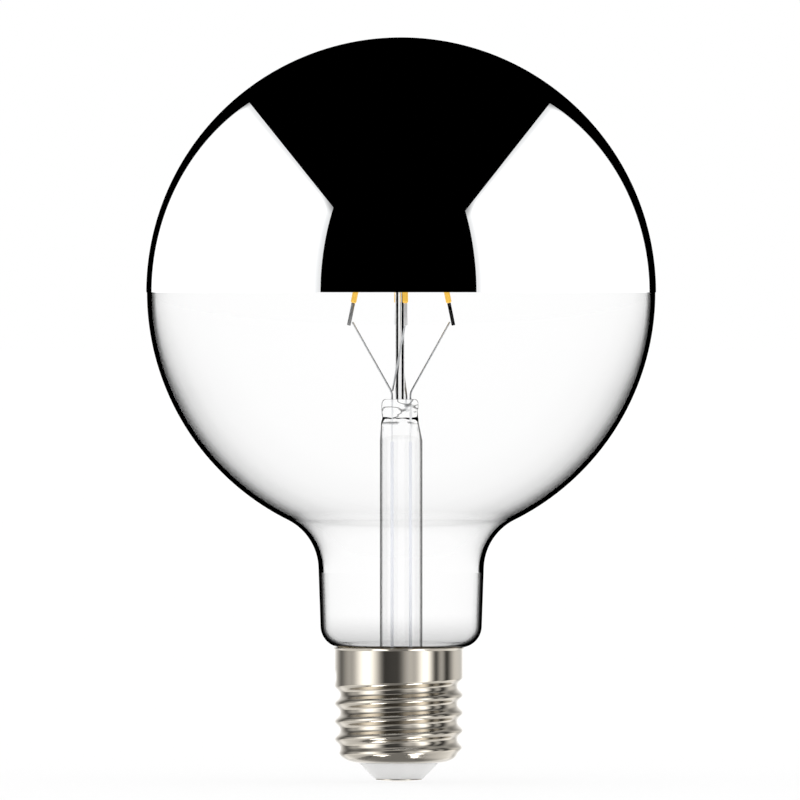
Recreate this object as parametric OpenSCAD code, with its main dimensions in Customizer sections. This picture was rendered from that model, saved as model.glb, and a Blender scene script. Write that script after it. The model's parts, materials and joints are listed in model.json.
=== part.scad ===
// Silver crown bulb: a clear glass globe lamp with a mirrored upper half,
// four LED filaments on a glass stem and an E27 screw cap.
// The origin is the lowest point of the centre contact, with the lamp's
// axis along +Z and the globe on top.

/* [Globe] */
// Diameter of the glass globe
globe_d = 104; // [95:1:115]
// Thickness of the blown glass
glass_wall = 0.9; // [0.6:0.1:1.2]
// Thickness of the mirror coat on the upper half
crown_coat = 0.12; // [0.1:0.02:0.3]
// Radius of the hollow curve between globe and neck
shoulder_r = 11.35; // [9:0.05:13]
// Diameter of the neck just under the shoulder
neck_d = 33.8; // [33:0.1:36]
// Height from the neck's round lower corner to the shoulder
neck_len = 11.55; // [9:0.05:16]
// Taper of the neck on each side, in degrees
neck_taper = 2; // [0.5:0.5:3]
// Radius of the neck's round lower corner
neck_corner_r = 4.4; // [3.8:0.1:4.8]
// Diameter of the glass mouth that is cemented into the cap
mouth_d = 22; // [21.4:0.1:22]
// Depth of the glass mouth inside the cap
mouth_depth = 7.3; // [6.5:0.1:7.6]

/* [Screw cap] */
// How far the cap sits to the right of the glass's axis
cap_shift = -0.49; // [-0.5:0.01:0.5]
// Diameter over the thread crests and the plain collar
cap_d = 26.2; // [26.05:0.05:26.45]
// Height of the shell from its lower edge to its lip
cap_h = 23.55; // [23.3:0.05:25]
// Thickness of the rolled sheet
cap_wall = 0.3; // [0.2:0.05:0.35]
// Depth of the thread from crest to root
thread_depth = 1.1; // [0.9:0.05:1.15]
// Rise of the thread in one turn
thread_pitch = 3.63; // [3.5:0.01:3.7]
// Height above the shell's lower edge at which the groove passes the right side
groove_h = 12.08; // [12:0.02:12.2]
// How far the lip at the top turns out
lip_out = 0.3; // [0.1:0.05:0.4]
// Height of the round lower corner
bowl_h = 4.05; // [3.5:0.05:4.5]
// Diameter of the hole that the insulator fills
base_hole_d = 16.4; // [15:0.1:17]
// Height of the insulator's cone
insulator_h = 3.25; // [2.8:0.05:3.8]
// Diameter of the insulator's lower face
insulator_low_d = 10.2; // [10:0.1:11]
// Diameter of the centre contact
contact_d = 9.5; // [8.5:0.1:9.8]
// Height of the centre contact below the insulator
contact_h = 0.68; // [0.5:0.02:1]

/* [Glass stem] */
// Diameter of the stem tube
stem_d = 8.7; // [8.4:0.1:9.4]
// Thickness of the stem tube
stem_wall = 0.7; // [0.5:0.05:0.8]
// Height of the stem tube above the cap's lip
stem_h = 42.3; // [36:0.1:46]
// Width of the flattened press on top of the stem
press_w = 7.3; // [6.8:0.1:7.8]
// Thickness of the press
press_t = 3.4; // [3:0.1:3.8]
// Height of the press
press_h = 8.5; // [7.5:0.1:10]
// How far the press and its rod sit to the right of the axis
press_shift = -0.25; // [-0.4:0.05:0.2]
// Diameter of the exhaust tube inside the stem
exhaust_d = 3; // [2.6:0.1:3.1]
// Thickness of the exhaust tube
exhaust_wall = 0.5; // [0.4:0.05:0.7]
// Diameter of the support rod
rod_d = 1.95; // [1.6:0.05:2.2]

/* [Filaments] */
// Length of the glowing strip
filament_len = 29; // [26:0.5:32]
// Diameter of the glowing strip
filament_d = 1.15; // [1:0.05:1.4]
// Lean of each filament towards the axis, in degrees
filament_lean = 11.5; // [10:0.5:13]
// Distance of the lower ends from the axis
filament_foot_r = 10.75; // [10.5:0.05:12]
// Height of the lower ends above the press
filament_foot_h = 15.1; // [13:0.1:18]
// Turn of the four filaments about the axis, in degrees
filament_turn = 5; // [0:1:8]
// Length of the metal tab at each end
tab_len = 4.7; // [4:0.1:5.5]
// Radius of the corners at a tab's outer end
tab_corner = 0.12; // [0.05:0.01:0.25]
// Width of a tab
tab_w = 0.72; // [0.6:0.02:0.9]
// Thickness of a tab
tab_t = 0.3; // [0.2:0.02:0.4]

/* [Wires] */
// Diameter of the lead-in wires
wire_d = 0.38; // [0.3:0.02:0.46]
// Diameter of the sleeves on the leads inside the stem
sleeve_d = 0.66; // [0.6:0.02:0.7]
// Height up a tab at which its wire is welded
weld_h = 0.7; // [0.4:0.1:1.2]

/* [Driver] */
// Diameter of the driver board
board_d = 22.6; // [20:0.1:22.8]
// Thickness of the driver board
board_t = 1; // [0.8:0.1:1.2]
// Gap between the glass mouth and the board
board_drop = 3.4; // [3.1:0.1:3.6]
// Diameter of the capacitor
cap_can_d = 6.3; // [5.5:0.1:6.5]
// Length of the capacitor
cap_can_len = 11; // [9:0.5:12]
// Diameter of the fusible resistor
resistor_d = 2.8; // [2:0.1:3]
// Length of the fusible resistor
resistor_len = 8; // [6:0.5:9]
// Diameter of the two wires under the board
hookup_d = 0.6; // [0.5:0.05:0.8]

/* [Hidden] */

// Running gap between pieces that seat on each other
seat = 0.02;
// Room between the glass and the cap's lip
lip_room = 0.06;
// Sides of a full circle on the larger and the smaller pieces
big_fn = 180;
small_fn = 48;
// Steps along the globe's arc and along each smaller arc of the envelope
globe_steps = 56;
curve_steps = 12;
// Sides of a circle inside a hull
hull_fn = 32;

// Heights along the axis, from the contact up
base_z = contact_h + insulator_h;
lip_z = base_z + seat + cap_h;
stem_top_z = lip_z + stem_h;
press_top_z = stem_top_z + press_h;
foot_z = press_top_z + filament_foot_h;

// Cap radii
cap_r = cap_d / 2;
cap_in_r = cap_r - cap_wall;
lip_in_r = cap_in_r + lip_out;
shell_z = base_z + seat;

// Envelope outline: the shoulder's, corner's and mouth fillet's arc centres
mouth_r = mouth_d / 2;
mouth_fillet_r = 0.5;
globe_r = globe_d / 2;
shoulder_x = neck_d / 2 + shoulder_r;
corner_x = shoulder_x - shoulder_r * cos(neck_taper)
         - ((neck_len + shoulder_r * sin(neck_taper)) * sin(neck_taper) + neck_corner_r) / cos(neck_taper);
corner_z = lip_z + lip_room + leg(neck_corner_r, lip_in_r - abs(cap_shift) - corner_x);
shoulder_z = corner_z + neck_len;
globe_z = shoulder_z + leg(globe_r + shoulder_r, shoulder_x);
fillet_x = mouth_r + mouth_fillet_r;
fillet_z = corner_z - leg(neck_corner_r + mouth_fillet_r, fillet_x - corner_x);
mouth_z = fillet_z - mouth_depth;

// Stem flare: a trumpet that opens to the glass mouth
stem_r = stem_d / 2;
flare_r = mouth_r - glass_wall - stem_r;
flare_z = mouth_z + flare_r;
stem_bore_r = stem_r - stem_wall;

// Exhaust tube and its port into the globe
bore_end_h = 1.2;
port_d = 1.6;
port_side_d = 1.3;
exhaust_top_z = stem_top_z + bore_end_h;
exhaust_tip_z = mouth_z - stem_wall - 1.5;

// Driver board and what it carries
board_top_z = mouth_z - stem_wall - board_drop;
board_low_z = board_top_z - board_t;

// Lead-in wires where they pass the press, left, right and back
wire_r = wire_d / 2;
lead_y = 0.9;
lead_left_x = -1.85;
lead_right_x = 1.9;
lead_back_x = 1.1;
lead_back_z = press_top_z - 2.3;
lead_bend_h = 1.3;

// Filament places: right, back, left and front
filament_span = filament_len + 2 * tab_len;
spider_z = foot_z + (filament_span - weld_h) * cos(filament_lean);
hub_h = 0.8;
hub_wall = 0.45;
rod_top_z = spider_z + 1.4;

// Thread: height of a groove at angle 0, and where the groove runs out
groove_z = shell_z + groove_h;
groove_end = 556;
groove_fade = 80;
thread_top_z = groove_z + thread_pitch * (groove_end / 360 + 0.5);
thread_rows_per_turn = 8;
shell_sides = 56;
bowl_w = 4.7;
bowl_steps = 6;

// Length of the other short side of a right triangle
function leg(long, short) = sqrt(long * long - short * short);
function clamp01(x) = min(1, max(0, x));
function smooth(x) = let (t = clamp01(x)) t * t * (3 - 2 * t);

// Directions and places on the filaments; h is a height along the filament
function filament_angle(i) = filament_turn + 90 * i;
function filament_point(i, h) =
    let (r = filament_foot_r - h * sin(filament_lean), a = filament_angle(i))
    [r * cos(a), r * sin(a), foot_z + h * cos(filament_lean)];
// Half the tab's depth as seen from the axis: the tabs all face front and back
function tab_reach(i) = i % 2 == 0 ? tab_w / 2 : tab_t / 2;
function weld_point(i, h) =
    filament_point(i, h)
    - (tab_reach(i) + wire_r + 3 * seat) * [cos(filament_angle(i)), sin(filament_angle(i)), 0];

// Sweeping: one round corner of a path, a path with its corners rounded,
// and a ring of points round each point of a path
function unit(v) = v / norm(v);
function corner(a, b, c, cut, steps = 4) =
    cut == 0 ? [b] :
    let (p = b + cut * unit(a - b), q = b + cut * unit(c - b))
    [for (k = [0:steps]) let (t = k / steps)
        (1 - t) * (1 - t) * p + 2 * t * (1 - t) * b + t * t * q];
function rounded(pts, cuts) = [
    pts[0],
    for (k = [1:len(pts) - 2]) each corner(pts[k - 1], pts[k], pts[k + 1], cuts[k - 1]),
    pts[len(pts) - 1]];
function along(path, k) =
    k == 0 ? unit(path[1] - path[0]) :
    k == len(path) - 1 ? unit(path[k] - path[k - 1]) :
    unit(unit(path[k] - path[k - 1]) + unit(path[k + 1] - path[k]));
// A mitred ring is stretched across the corner, so the tube keeps its width
function ring(path, k, r, sides, side) =
    let (t = along(path, k),
         back = unit(path[max(k, 1)] - path[max(k, 1) - 1]),
         u0 = unit(cross(side, back)),
         v0 = cross(back, u0))
    [for (j = [0:sides - 1])
        let (a = 360 * j / sides,
             p = r * (cos(a) * u0 + sin(a) * v0))
        path[k] + p - back * (p * t) / (back * t)];

module sweep(path, d, side = [0, 1, 0], sides = 8) {
    n = len(path);
    points = [for (k = [0:n - 1]) each ring(path, k, d / 2, sides, side)];
    low = [for (j = [0:sides - 1]) j];
    high = [for (j = [sides - 1:-1:0]) (n - 1) * sides + j];
    walls = [for (k = [0:n - 2], j = [0:sides - 1])
        let (a = k * sides + j, b = k * sides + (j + 1) % sides)
        each [[a, a + sides, b], [b, a + sides, b + sides]]];
    polyhedron(points, concat([low], walls, [high]), convexity = 4);
}

// Points of an arc round centre c, from one angle to another
function arc(c, r, from, to, steps) = [
    for (k = [0:steps]) let (a = from + (to - from) * k / steps) c + r * [cos(a), sin(a)]];

// Outline of the envelope from its top to its mouth, inset from the outer
// face; each arc is tangent to the next stretch
function envelope_line(inset) =
    let (waist = atan2(shoulder_z - globe_z, shoulder_x),
         step_in = atan2(fillet_z - corner_z, fillet_x - corner_x))
    concat(
        arc([0, globe_z], globe_r - inset, 90, waist, globe_steps),
        arc([shoulder_x, shoulder_z], shoulder_r + inset, waist + 180, 180 - neck_taper, curve_steps),
        arc([corner_x, corner_z], neck_corner_r - inset, -neck_taper, step_in, curve_steps),
        arc([fillet_x, fillet_z], mouth_fillet_r + inset, step_in + 180, 180, curve_steps),
        [[mouth_r - inset, mouth_z]]);

function reversed(list) = [for (k = [len(list) - 1:-1:0]) list[k]];

// Blown globe with its neck and the mouth that goes into the cap
module glass_envelope() {
    color("AliceBlue", 0.3) rotate_extrude($fn = big_fn)
        polygon(concat(envelope_line(0), reversed(envelope_line(glass_wall))));
}

// Mirror coat over the whole upper half of the globe
module mirror_crown() {
    outer_r = globe_r + seat + crown_coat;
    color("Silver") rotate_extrude($fn = big_fn) intersection() {
        difference() {
            translate([0, globe_z]) circle(outer_r, $fn = big_fn);
            translate([0, globe_z]) circle(globe_r + seat, $fn = big_fn);
        }
        translate([0, globe_z]) square([outer_r, outer_r]);
    }
}

// Where the pinch starts and ends, as shares of the press's height, and how
// much wider and thicker the press is where the pinch starts
pinch_from = 0.42;
pinch_to = 0.56;
pinch_w = 0.4;
pinch_t = 1.5;
press_edge = 0.7;
slice_h = 0.01;

// One level slice of the press, for the hulls that shape it
module press_slice(z, w, t) {
    r = min(w, t) * 0.42;
    for (sx = [-1, 1], sy = [-1, 1])
        translate([press_shift + sx * (w / 2 - r), sy * (t / 2 - r), z])
            cylinder(r = r, h = slice_h, $fn = hull_fn);
}

// Press: the round tube flattened in three stages, with a softened top edge
module press() {
    flat_z = stem_top_z + press_h * pinch_from;
    mid_z = stem_top_z + press_h * pinch_to;
    hull() {
        translate([0, 0, stem_top_z]) cylinder(r = stem_r, h = slice_h, $fn = small_fn);
        press_slice(flat_z, press_w + pinch_w, press_t * pinch_t);
    }
    hull() {
        press_slice(flat_z, press_w + pinch_w, press_t * pinch_t);
        press_slice(mid_z, press_w, press_t);
    }
    hull() {
        press_slice(mid_z, press_w, press_t);
        press_slice(press_top_z - press_edge, press_w, press_t);
        press_slice(press_top_z - slice_h, press_w - press_edge, press_t - press_edge);
    }
}

// Bores in the press for the sealed wires and the exhaust port
module press_bores() {
    bore_r = wire_r + seat;
    for (x = [lead_left_x, lead_right_x])
        translate([x, lead_y, stem_top_z - 1])
            cylinder(r = bore_r, h = press_h + 2, $fn = small_fn);
    translate([lead_back_x, lead_y, lead_back_z - bore_r - seat])
        cylinder(r = bore_r, h = press_h, $fn = small_fn);
    translate([lead_back_x, lead_y, lead_back_z]) rotate([0, 90, 0])
        cylinder(r = bore_r, h = lead_right_x - lead_back_x, $fn = small_fn);
    translate([0, 0, exhaust_top_z - seat])
        cylinder(d = port_d, h = port_d + seat, $fn = small_fn);
    translate([0, 0, exhaust_top_z + port_d / 2]) rotate([90, 0, 0])
        cylinder(d = port_side_d, h = 2 * stem_r, $fn = small_fn);
}

// Stem: flare, tube and press in one piece of glass
module stem_tube() {
    color("LightCyan", 0.5) difference() {
        union() {
            rotate_extrude($fn = small_fn * 2) difference() {
                union() {
                    translate([0, mouth_z - stem_wall]) square([mouth_r, stem_wall]);
                    difference() {
                        translate([0, mouth_z]) square([stem_r + flare_r, flare_r]);
                        translate([stem_r + flare_r, flare_z]) circle(flare_r, $fn = big_fn);
                    }
                    translate([0, flare_z]) square([stem_r, stem_top_z - flare_z]);
                }
                // Hollow of the flare and the tube
                difference() {
                    translate([0, mouth_z - stem_wall - 1])
                        square([stem_r + flare_r, flare_r + stem_wall + 1]);
                    translate([stem_r + flare_r, flare_z]) circle(flare_r + stem_wall, $fn = big_fn);
                }
                translate([0, flare_z - 0.01]) square([stem_bore_r, stem_top_z - flare_z + 1]);
            }
            press();
        }
        translate([0, 0, stem_top_z - 0.5])
            cylinder(r = stem_bore_r, h = 0.5 + seat, $fn = small_fn * 2);
        translate([0, 0, stem_top_z])
            cylinder(r1 = stem_bore_r, r2 = stem_bore_r * 0.6, h = bore_end_h, $fn = small_fn * 2);
        press_bores();
    }
}

// Exhaust tube, open to the port at its top and sealed to a round tip below
module exhaust_tube() {
    r = exhaust_d / 2;
    bore = r - exhaust_wall;
    color("LightCyan", 0.5) rotate_extrude($fn = small_fn) difference() {
        union() {
            translate([0, exhaust_tip_z + r]) square([r, exhaust_top_z - seat - exhaust_tip_z - r]);
            intersection() {
                translate([0, exhaust_tip_z + r]) circle(r, $fn = small_fn);
                translate([0, exhaust_tip_z]) square([r, r]);
            }
        }
        translate([0, exhaust_tip_z + r]) square([bore, exhaust_top_z - exhaust_tip_z]);
    }
}

// Glass rod that stands on the press and carries the spider
module support_rod() {
    color("LightCyan", 0.6) translate([press_shift, 0, press_top_z])
        cylinder(d = rod_d, h = rod_top_z - press_top_z, $fn = small_fn);
}

// Spider: a collar on the rod with one arm to each filament
module top_spider() {
    hub_r = rod_d / 2 + hub_wall;
    color("DarkGray") difference() {
        union() {
            translate([press_shift, 0, spider_z - hub_h / 2])
                cylinder(r = hub_r, h = hub_h, $fn = small_fn);
            for (i = [0:3]) spider_arm(i);
        }
        translate([press_shift, 0, spider_z - hub_h])
            cylinder(d = rod_d + 2 * seat, h = 2 * hub_h, $fn = small_fn);
    }
}

module spider_arm(i) {
    from = [press_shift, 0, spider_z];
    to = weld_point(i, filament_span - weld_h);
    reach = norm(to - from);
    a = atan2(to.y - from.y, to.x - from.x);
    translate(from) rotate([0, 90, a]) cylinder(r = wire_r, h = reach + wire_r, $fn = small_fn);
}

// Stands what follows on filament i, its own +Z up the filament and its
// faces turned to the front and the back
module on_filament(i, h) {
    a = filament_angle(i);
    translate(filament_point(i, h)) rotate([0, 0, a]) rotate([0, -filament_lean, 0])
        rotate([0, 0, -90 * i]) children();
}

// One filament: a strip in yellow phosphor with rounded ends
module filament(i) {
    r = filament_d / 2;
    round_r = r * 0.45;
    color("Gold") on_filament(i, tab_len) rotate_extrude($fn = small_fn) {
        translate([0, round_r]) square([r, filament_len - 2 * round_r]);
        square([r - round_r, filament_len]);
        for (z = [round_r, filament_len - round_r])
            translate([r - round_r, z]) circle(round_r, $fn = small_fn);
    }
}

// One metal tab; its outer end has small round corners
module tab(i, top) {
    length = tab_len - seat;
    middle = (top ? filament_span - length : 0) + length / 2;
    color("DimGray") on_filament(i, middle) translate([0, tab_t / 2, 0]) rotate([90, 0, 0])
        linear_extrude(tab_t) mirror([0, top ? 1 : 0]) translate([0, -length / 2]) {
            translate([-tab_w / 2, tab_corner]) square([tab_w, length - tab_corner]);
            translate([tab_corner - tab_w / 2, 0]) square([tab_w - 2 * tab_corner, length]);
            for (side = [-1, 1])
                translate([side * (tab_w / 2 - tab_corner), tab_corner])
                    circle(tab_corner, $fn = small_fn);
        }
}

// Lead-in wires, each from the board through the press to its filament
function lead_path(x, i) = rounded(
    [[x, lead_y, board_top_z + seat],
     [x, lead_y, press_top_z + lead_bend_h],
     weld_point(i, weld_h)],
    [0.8]);

module lead_wire(x, i) {
    color("Gray") sweep(lead_path(x, i), wire_d, side = [0, 1, 0]);
}

// Third lead: sealed in the press beside the right lead, then up to the back
module lead_wire_back() {
    stub_x = lead_right_x - wire_r - 2 * seat;
    color("Gray") sweep(rounded(
        [[stub_x, lead_y, lead_back_z],
         [lead_back_x, lead_y, lead_back_z],
         [lead_back_x, lead_y, press_top_z + 0.6],
         weld_point(1, weld_h)],
        [0, 0.5]), wire_d, side = [0.1, 1, 0.05]);
}

// Branch from the bend of the left lead to the front filament
module branch_wire_front() {
    bend = [lead_left_x, lead_y, press_top_z + lead_bend_h];
    to = weld_point(3, weld_h);
    start = bend + 1.6 * wire_d * unit(to - bend);
    color("Gray") sweep([start, to], wire_d, side = [1, 0, 0]);
}

// Moves what follows with the cap, off the glass's axis
module in_cap() {
    translate([cap_shift, 0, 0]) children();
}

// Insulating sleeve on a lead inside the stem
module lead_sleeve(x) {
    color("GhostWhite") translate([x, lead_y, board_top_z + 1]) difference() {
        cylinder(d = sleeve_d, h = stem_top_z - board_top_z - 1.2, $fn = small_fn);
        translate([0, 0, -1])
            cylinder(r = wire_r + seat, h = stem_top_z - board_top_z + 2, $fn = small_fn);
    }
}

// How deep the rolled groove is at angle a and height z
function groove(a, z) =
    let (turn = (z - groove_z) / thread_pitch - a / 360,
         m = round(turn),
         crest = (1 - cos(360 * (turn - m))) / 2,
         out = clamp01((groove_end - a - 360 * m) / groove_fade),
         low = smooth((z - shell_z - 0.6) / 3))
    thread_depth * out * low * (1 - pow(crest, 1.35));

// Rows of the shell from its lower edge to its lip: radius and height outside,
// then radius and height inside
bowl_x = cap_r - bowl_w;
shell_rows = [
    [base_hole_d / 2, shell_z, base_hole_d / 2, shell_z + cap_wall],
    for (k = [0:bowl_steps]) let (a = 90 * k / bowl_steps)
        [bowl_x + bowl_w * sin(a), shell_z + bowl_h * (1 - cos(a)),
         bowl_x + (bowl_w - cap_wall) * sin(a), shell_z + bowl_h - (bowl_h - cap_wall) * cos(a)],
    for (z = [shell_z + bowl_h + thread_pitch / thread_rows_per_turn
              : thread_pitch / thread_rows_per_turn : thread_top_z])
        [cap_r, z, cap_in_r, z],
    for (p = [[0.55, 0], [0.4, 0.35], [0.25, 0.8], [0, 1]])
        [cap_r + lip_out * p[1], lip_z - p[0], cap_in_r + lip_out * p[1], lip_z - p[0]]];

function shell_in_r(a, z) = cap_in_r - groove(a, z);

// Screw shell: rolled sheet with the round lamp thread, the plain collar
// and the turned-out lip, as one closed skin
module screw_shell() {
    n = len(shell_rows);
    s = shell_sides;
    outer = [for (row = shell_rows, j = [0:s - 1])
        let (a = 360 * j / s, r = row[0] - groove(a, row[1])) [r * cos(a), r * sin(a), row[1]]];
    inner = [for (row = shell_rows, j = [0:s - 1])
        let (a = 360 * j / s, r = row[2] - groove(a, row[1])) [r * cos(a), r * sin(a), row[3]]];
    skin = [for (k = [0:n - 2], j = [0:s - 1])
        let (a = k * s + j, b = k * s + (j + 1) % s, m = n * s)
        each [[a, a + s, b + s], [a, b + s, b],
              [m + a, m + b + s, m + a + s], [m + a, m + b, m + b + s]]];
    low_rim = [for (j = [0:s - 1])
        let (a = j, b = (j + 1) % s, m = n * s) each [[a, b, m + b], [a, m + b, m + a]]];
    top_rim = [for (j = [0:s - 1])
        let (a = (n - 1) * s + j, b = (n - 1) * s + (j + 1) % s, m = n * s)
        each [[a, m + b, b], [a, m + a, m + b]]];
    color("LightGray") in_cap() polyhedron(concat(outer, inner), concat(skin, low_rim, top_rim), convexity = 8);
}

// Cement that holds the glass mouth in the collar
module cap_cement() {
    top = fillet_z - seat;
    color("Tan") translate([0, 0, thread_top_z]) difference() {
        in_cap() cylinder(r = cap_in_r * cos(180 / shell_sides) - seat, h = top - thread_top_z, $fn = small_fn * 2);
        translate([0, 0, -1]) cylinder(r = mouth_r + seat, h = top - thread_top_z + 2, $fn = small_fn * 2);
    }
}

// Moulded insulator: the cone below, the plug in the shell's hole and the
// flange that the shell grips
flange_r = base_hole_d / 2 + 1.1;
flange_h = 1.3;
rivet_d = 2.4;
rivet_head_h = 0.5;
// The bowl's curve lifts the flange a little off the flat of the shell
flange_lift = bowl_h - cap_wall - leg(1, (flange_r - bowl_x) / (bowl_w - cap_wall)) * (bowl_h - cap_wall);
flange_z = shell_z + cap_wall + flange_lift + 3 * seat;
plug_r = base_hole_d / 2 * cos(180 / shell_sides) - seat;
rivet_top_z = flange_z + flange_h + rivet_head_h;
module insulator() {
    color("WhiteSmoke") in_cap() rotate_extrude($fn = small_fn * 2) difference() {
        polygon([[0, contact_h], [insulator_low_d / 2, contact_h],
                 [plug_r, base_z], [plug_r, flange_z],
                 [flange_r, flange_z], [flange_r, flange_z + flange_h],
                 [0, flange_z + flange_h]]);
        translate([0, -1]) square([rivet_d / 2 + seat, base_z + 10]);
    }
}

// Centre contact: a domed disc riveted through the insulator
module centre_contact() {
    r = contact_d / 2;
    rim = 0.18;
    dome = contact_h - rim;
    dome_r = (r * r + dome * dome) / (2 * dome);
    color("Silver") in_cap() rotate_extrude($fn = small_fn * 2) {
        intersection() {
            translate([0, dome_r]) circle(dome_r, $fn = big_fn * 2);
            square([r, contact_h - seat]);
        }
        translate([0, dome]) square([r, rim - seat]);
        translate([0, dome]) square([rivet_d / 2, rivet_top_z - dome]);
        translate([0, rivet_top_z - rivet_head_h + seat]) square([rivet_d / 2 + 0.6, rivet_head_h]);
    }
}

// Driver board, under the glass mouth
module driver_board() {
    color("SeaGreen") in_cap() translate([0, 0, board_low_z])
        cylinder(d = board_d, h = board_t, $fn = small_fn * 2);
}

// A surface-mount package: body on gull legs down both long sides
module package(size, legs, leg_w) {
    lift = 0.15;
    leg_t = 0.2;
    reach = 0.9;
    difference() {
        translate([-size.x / 2, -size.y / 2, lift]) cube([size.x, size.y, size.z - lift]);
        translate([-size.x / 2 + 0.7, -size.y / 2 + 0.7, size.z - 0.1])
            cylinder(d = 0.6, h = 1, $fn = small_fn);
    }
    for (k = [0:legs - 1], side = [-1, 1])
        translate([size.x * ((k + 0.5) / legs - 0.5) - leg_w / 2,
                   side > 0 ? size.y / 2 : -size.y / 2 - reach, 0]) {
            cube([leg_w, reach, leg_t]);
            translate([0, side > 0 ? 0 : reach - leg_t, 0]) cube([leg_w, leg_t, size.z * 0.5]);
        }
}

part_x = 5.6;
part_y = 4;
module bridge_rectifier() {
    color("DarkSlateGray") in_cap() translate([part_x, part_y, board_top_z + seat])
        package([4.8, 3.9, 2.2], 2, 0.7);
}

module driver_chip() {
    color("DimGray") in_cap() translate([-part_x, part_y, board_top_z + seat])
        package([4.9, 3.9, 1.6], 4, 0.45);
}

// Electrolytic capacitor lying under the board, with a rolled groove by its
// seal and two short legs
can_y = 3.6;
module capacitor() {
    r = cap_can_d / 2;
    leg_x = cap_can_len / 2;
    color("SteelBlue") in_cap() translate([0.4, can_y, board_low_z - seat - r]) {
        rotate([0, 90, 0]) rotate_extrude($fn = small_fn) difference() {
            translate([0, -cap_can_len / 2]) square([r, cap_can_len]);
            translate([r + 0.1, cap_can_len / 2 - 1.4]) circle(0.45, $fn = small_fn);
        }
        for (y = [-1.25, 1.25]) {
            translate([leg_x - 0.1, y, 0]) rotate([0, 90, 0]) cylinder(r = 0.25, h = 0.9, $fn = small_fn);
            translate([leg_x + 0.6, y, 0]) cylinder(r = 0.25, h = r, $fn = small_fn);
        }
    }
}

// Fusible resistor beside it, body wider at its end caps
resistor_y = -5.4;
module fusible_resistor() {
    r = resistor_d / 2;
    leg = 0.3;
    color("BurlyWood") in_cap() translate([0, resistor_y, board_low_z - seat - r]) {
        rotate([0, 90, 0]) rotate_extrude($fn = small_fn) {
            translate([0, -resistor_len / 2]) square([r * 0.86, resistor_len]);
            for (z = [-resistor_len / 2 + 0.9, resistor_len / 2 - 0.9])
                intersection() {
                    translate([r * 0.1, z]) circle(r * 0.9, $fn = small_fn);
                    translate([0, z - 0.9]) square([r, 1.8]);
                }
        }
        for (side = [-1, 1]) {
            translate([side * (resistor_len / 2 + 0.4), 0, 0]) rotate([0, 90, 0])
                cylinder(r = leg, h = 1, center = true, $fn = small_fn);
            translate([side * (resistor_len / 2 + 0.9), 0, -leg]) cylinder(r = leg, h = r + leg, $fn = small_fn);
        }
    }
}

// Wire from the centre contact's rivet up to the board
module live_wire() {
    rivet_top = rivet_top_z + seat;
    color("Crimson") in_cap() sweep(rounded(
        [[-0.4, -0.2, rivet_top + 2 * seat],
         [-0.4, -0.2, rivet_top + 1.2],
         [-3.4, -2.2, board_low_z - 3.5],
         [-3.4, -2.2, board_low_z - seat]],
        [0.6, 1]), hookup_d, side = [0.2, 1, 0]);
}

// Wire from the board to the inside of the screw shell
module neutral_wire() {
    a = -20;
    end_z = groove_z + thread_pitch * (a / 360 - 1.5);
    r_end = shell_in_r(a, end_z) - 0.22;
    r_top = board_d / 2 - 2.2;
    out = [cos(a), sin(a), 0];
    color("RoyalBlue") in_cap() sweep(rounded(
        [r_top * out + [0, 0, board_low_z - seat],
         r_top * out + [0, 0, end_z],
         r_end * out + [0, 0, end_z]],
        [1]), hookup_d, side = [-sin(a), cos(a), 0]);
}

glass_envelope();
mirror_crown();
stem_tube();
exhaust_tube();
support_rod();
top_spider();
filament(0);  // filament_right
filament(1);  // filament_back
filament(2);  // filament_left
filament(3);  // filament_front
tab(0, false);  // tab_right_low
tab(1, false);  // tab_back_low
tab(2, false);  // tab_left_low
tab(3, false);  // tab_front_low
tab(0, true);  // tab_right_top
tab(1, true);  // tab_back_top
tab(2, true);  // tab_left_top
tab(3, true);  // tab_front_top
lead_wire(lead_left_x, 2);  // lead_wire_left
lead_wire(lead_right_x, 0);  // lead_wire_right
lead_wire_back();
branch_wire_front();
lead_sleeve(lead_left_x);  // lead_sleeve_left
lead_sleeve(lead_right_x);  // lead_sleeve_right
screw_shell();
cap_cement();
insulator();
centre_contact();
driver_board();
bridge_rectifier();
driver_chip();
capacitor();
fusible_resistor();
live_wire();
neutral_wire();
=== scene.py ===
import json
import math

import bmesh
import bpy
from mathutils import Matrix, Vector, noise

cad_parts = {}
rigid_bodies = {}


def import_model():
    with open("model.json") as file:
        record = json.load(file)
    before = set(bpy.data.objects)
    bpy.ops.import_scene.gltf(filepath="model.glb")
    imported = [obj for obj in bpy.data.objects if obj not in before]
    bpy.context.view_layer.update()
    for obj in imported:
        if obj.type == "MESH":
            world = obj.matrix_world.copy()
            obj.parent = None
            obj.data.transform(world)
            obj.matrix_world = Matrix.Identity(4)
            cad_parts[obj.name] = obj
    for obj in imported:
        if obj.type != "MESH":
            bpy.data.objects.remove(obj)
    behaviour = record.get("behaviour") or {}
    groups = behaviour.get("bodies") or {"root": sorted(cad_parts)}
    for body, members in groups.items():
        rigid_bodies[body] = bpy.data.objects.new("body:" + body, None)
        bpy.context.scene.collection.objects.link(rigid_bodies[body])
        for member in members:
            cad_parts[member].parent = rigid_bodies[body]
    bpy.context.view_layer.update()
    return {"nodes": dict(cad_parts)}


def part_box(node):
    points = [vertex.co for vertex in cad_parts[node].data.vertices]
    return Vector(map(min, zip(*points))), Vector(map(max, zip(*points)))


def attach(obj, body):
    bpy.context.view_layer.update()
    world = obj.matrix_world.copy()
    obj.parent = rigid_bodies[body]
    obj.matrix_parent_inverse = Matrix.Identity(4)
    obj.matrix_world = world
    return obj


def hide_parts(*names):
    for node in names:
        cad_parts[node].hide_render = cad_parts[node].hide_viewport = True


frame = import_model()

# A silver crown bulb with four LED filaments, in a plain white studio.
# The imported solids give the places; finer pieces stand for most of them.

MM = 0.001
AXIS = Vector((0, 0, 1))


# Sizes from the frame


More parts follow.
